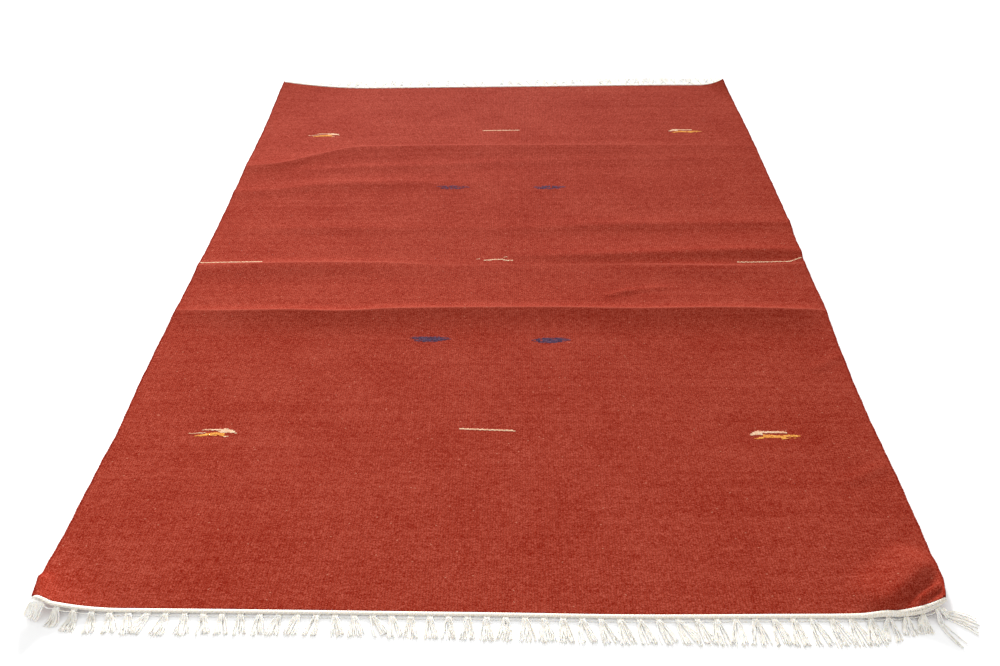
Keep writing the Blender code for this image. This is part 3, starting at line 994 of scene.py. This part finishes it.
# How plump the twining is along each end, and how much it droops where the end is off the floor.
# It is slack and wide at the lifted near right corner.
PLUMPNESS = (
    Ply(-0.70, 0.75, 1.0, 0.1),
    Ply(-0.66, 0.95, 1.0, 0.1),
    Ply(0.50, 1.0, 1.0, 0.5),
    Ply(0.62, 1.45, 1.0, 0.8),
    Ply(0.66, 1.5, 1.0, 0.8),
    Ply(0.70, 0.8, 1.0, 0.8),
)


def past_end(u, distance, end):
    """Where a place past an end of the cloth lies. It droops where the end is off the floor."""
    distance = np.asarray(distance)
    place = lie(np.clip(u, -HALF_WIDTH, HALF_WIDTH), end * (HALF_LENGTH + distance))
    slope = along(PLUMPNESS, "droop", u) * np.minimum(1, place[..., 2] / DROOP_FROM)
    place[..., 2] = np.maximum(0, place[..., 2] - slope * distance)
    return place


def ridge(name, end):
    """Two strands turned round each other along the whole end."""
    u = np.linspace(-HALF_WIDTH, HALF_WIDTH, 2080)
    phase = 2 * np.pi * u / TWINE_LENGTH + 0.5 * np.sin(u * 37)
    plump = along(PLUMPNESS, "near" if end < 0 else "far", u)
    paths = []
    for start in (0, np.pi):
        swing = STRAND_SWING * np.cos(phase + start)
        path = past_end(u, (RIDGE_MIDDLE + swing) * plump, end)
        path[:, 2] += (TWINE_HEIGHT + 0.0004 * np.sin(phase + start)) * plump
        paths.append(path)
    radius = np.stack([STRAND_RADIUS * plump, STRAND_RADIUS * plump])
    rings, lays = sweep(np.array(paths), radius, sides=8, flatness=0.36)
    rings[..., 2] = np.maximum(rings[..., 2], 0)
    return add_loft(name, rings, lays, twine_cotton, np.array([0.30, 0.70]))


def running_cord(name, end):
    """A thin plied cord that dips between tassels and rides over each."""
    u = np.linspace(-HALF_WIDTH + CORD_IN, HALF_WIDTH - CORD_IN, 1400)
    from_tassel = (u + HALF_WIDTH) / PITCH - 0.5
    over = np.cos(2 * np.pi * from_tassel)
    path = past_end(u, CORD_MIDDLE - 0.0004 * over, end)
    path[:, 2] += 0.0008 + CORD_RISE * (1 + over) / 2
    rings, lays = sweep(path[None], CORD_RADIUS, sides=6, flatness=0.72, turn_length=0.006)
    return add_loft(name, rings, lays, tassel_cotton, np.array([0.5]))


near_ridge = ridge("near_twined_ridge", -1)
far_ridge = ridge("far_twined_ridge", 1)
near_cord = running_cord("near_running_cord", -1)
far_cord = running_cord("far_running_cord", 1)

# %% [markdown]
# ### Tassels
#
# Loose yarn never repeats. Copies of one tassel would be light, but would look like a comb. So each
# tassel has a lean of its own, a table read on a smooth curve gives its length and how widely it
# fans, and every yarn gets a bend, a wave and a length from a seeded random source. Each yarn
# starts in the twined ridge, squeezes through its knot, drops to the floor and runs out along it.

# %% How the tassels lie
# Leans of the near tassels in degrees towards +u, one number a tassel from the left.
NEAR_LEANS = (
    -38, -8, -4, 10, 16, 14, -22, -8, 8, 12, 12, 14, 8, -6, -14, -6,
    14, 14, 30, 12, 3, 10, 6, 2, 0, 2, 12, 6, 8, 14, 18, 13,
    18, 23, 24, 11, 3, -2, 6, 12, 11, 11, 17, 9, 2, -6, -4, -9, 54,
)
FAR_LEANS = np.random.default_rng(7).normal(1, 7, TASSELS)
# Fan and bend are in degrees too. The length is from the knot to the tips, and the bend is how much
# a tassel turns on its way. A slack knot is wider than the others, in metres, and the split parts a
# tassel into two locks.
Lay = namedtuple("Lay", "u length fan bend knot split", defaults=(0, 0.0064, 3))
NEAR_LAYS = (
    Lay(-0.686, 0.020, 44, -25, 0.020, 0),
    Lay(-0.657, 0.026, 26, -10),
    Lay(-0.629, 0.034, 24),
    Lay(-0.571, 0.035, 22),
    Lay(-0.514, 0.038, 22),
    Lay(-0.400, 0.035, 20),
    Lay(-0.200, 0.036, 24),
    Lay(0.000, 0.039, 22),
    Lay(0.200, 0.043, 26),
    Lay(0.400, 0.045, 28),
    Lay(0.514, 0.047, 24),
    Lay(0.571, 0.046, 24),
    Lay(0.600, 0.041, 26),
    Lay(0.629, 0.031, 36),
    Lay(0.657, 0.031, 38),
    Lay(0.686, 0.060, 52, -8, 0.010, 13),
)
FAR_LAYS = (
    Lay(-0.690, 0.055, 26),
    Lay(-0.600, 0.059, 28),
    Lay(-0.300, 0.061, 30),
    Lay(0.000, 0.057, 30),
    Lay(0.300, 0.061, 28),
    Lay(0.600, 0.059, 28),
    Lay(0.690, 0.051, 30),
)
YARNS = 16
YARN_RADIUS = 0.00100
YARN_POINTS = 20
KNOT_POINTS = 6
START_WIDTH = 0.0085
FAN_SHARE = 0.72
KNOT_OUT = RIDGE_OUT + 0.0030
DROP_RUN = 0.012
print("near tassels lean from", min(NEAR_LEANS), "to", max(NEAR_LEANS), "degrees")

# %% Let the yarns fall
def tassel_paths(lays, leans, end, seed):
    """Paths of every yarn at one end, shaped (tassels x yarns, points, 3)."""
    rng = np.random.default_rng(seed)
    tassel = np.repeat(np.arange(TASSELS), YARNS)
    place = np.tile(np.arange(YARNS) / (YARNS - 1) - 0.5, TASSELS)
    count = len(tassel)
    centre = -HALF_WIDTH + (tassel + 0.5) * PITCH
    start_u = centre + place * START_WIDTH + rng.normal(0, 0.0005, count)
    knot_u = centre + place * along(lays, "knot", centre) + rng.normal(0, 0.0003, count)
    lean = np.radians(np.repeat(leans, YARNS))
    spread = np.radians(FAN_SHARE * along(lays, "fan", centre)) * place
    spread = spread + np.radians(rng.normal(0, 3.0, count))
    parting = np.repeat(rng.uniform(-0.3, 0.3, TASSELS), YARNS)
    spread = spread + np.radians(along(lays, "split", centre)) * np.sign(place - parting)
    length = along(lays, "length", centre) * rng.uniform(0.90, 1.04, count)
    shared_bend = np.repeat(rng.normal(0, 5, TASSELS), YARNS)
    bend = np.radians(along(lays, "bend", centre) + shared_bend + rng.normal(0, 4, count))
    wave = np.radians(rng.uniform(2, 8, count))
    wave_length = rng.uniform(0.010, 0.022, count)
    wave_start = rng.uniform(0, 2 * np.pi, count)

    # Out of the ridge and into the knot.
    t = np.linspace(0, 1, KNOT_POINTS)
    ease = t * t * (3 - 2 * t)
    u_in = start_u[:, None] + (knot_u - start_u)[:, None] * ease
    d_in = RIDGE_OUT - 0.0010 + (KNOT_OUT - RIDGE_OUT + 0.0010) * t
    gather = past_end(u_in, np.broadcast_to(d_in, u_in.shape), end)
    layer = rng.uniform(0, 1, count)
    hump = 0.0006 + 0.0008 * layer
    gather[:, :, 2] += YARN_RADIUS + hump[:, None] * (0.55 + 0.45 * ease)

    # Down to the floor and out along it.
    loose_points = YARN_POINTS - KNOT_POINTS
    run = np.linspace(0, 1, loose_points + 1)
    step = length[:, None] * run
    heading = lean[:, None] * (1 - 0.15 * run) + spread[:, None] * (1.7 - 1.5 * run)
    heading = heading + bend[:, None] * run
    wave_phase = 2 * np.pi * step / wave_length[:, None] + wave_start[:, None]
    heading = heading + wave[:, None] * np.sin(wave_phase)
    stride = length / loose_points
    across = np.cumsum(np.sin(heading[:, :-1]) * stride[:, None], axis=1)
    out = np.cumsum(np.cos(heading[:, :-1]) * stride[:, None], axis=1)
    knot = gather[:, -1]
    loose = np.zeros((count, loose_points, 3))
    loose[:, :, 0] = knot[:, :1] + across
    loose[:, :, 1] = knot[:, 1:2] + end * out
    drop = np.clip(step[:, 1:] / (DROP_RUN + 0.5 * knot[:, 2:]), 0, 1)
    drop = drop * drop * (3 - 2 * drop)
    lying = YARN_RADIUS * 1.05 + 0.0007 * layer[:, None] * (1 - 0.8 * run[1:])
    loose[:, :, 2] = knot[:, 2:] * (1 - drop) + lying * drop
    return np.concatenate([gather, loose], axis=1), rng.random(count)


def tassels(name, lays, leans, end, seed):
    """Every tassel of one end as one piece."""
    paths, tones = tassel_paths(lays, leans, end, seed)
    taper = np.interp(np.linspace(0, 1, YARN_POINTS), (0, 0.95, 1), (1, 1, 0.75))
    rings, lays_of = sweep(paths, YARN_RADIUS * taper[None], 6, flatness=0.80, turn_length=0.040)
    rings[..., 2] = np.maximum(rings[..., 2], 0.0001)
    return add_loft(name, rings, lays_of, tassel_cotton, tones)


near_tassels = tassels("near_tassels", NEAR_LAYS, NEAR_LEANS, -1, seed=11)
far_tassels = tassels("far_tassels", FAR_LAYS, FAR_LEANS, 1, seed=12)
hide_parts("near_fringe")
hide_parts("far_fringe")

# %% [markdown]
# ## The floor
#
# A white floor, so large that its edge is far off even when seen from low down. It is only there
# for the rug to lie on, and is not part of it.

# %% Floor
FLOOR_HALF = 20.0
FLOOR_HEIGHT = -0.0002
floor_mesh = bpy.data.meshes.new("studio_floor")
signs = ((-1, -1), (1, -1), (1, 1), (-1, 1))
floor_corners = [(x * FLOOR_HALF, y * FLOOR_HALF, FLOOR_HEIGHT) for x, y in signs]
floor_mesh.from_pydata(floor_corners, [], [(0, 1, 2, 3)])
floor_finish, floor_shader, _ = new_finish("floor_white", roughness=0.8, sheen=0.0)
floor_shader.inputs["Base Color"].default_value = (0.96, 0.96, 0.96, 1)
floor_mesh.materials.append(floor_finish)
floor = bpy.data.objects.new("studio_floor", floor_mesh)
scene.collection.objects.link(floor)
print("floor", 2 * FLOOR_HALF, "m wide")

# %% [markdown]
# ## Last step
#
# The scene is brought up to date.

# %% Bring the scene up to date
bpy.context.view_layer.update()
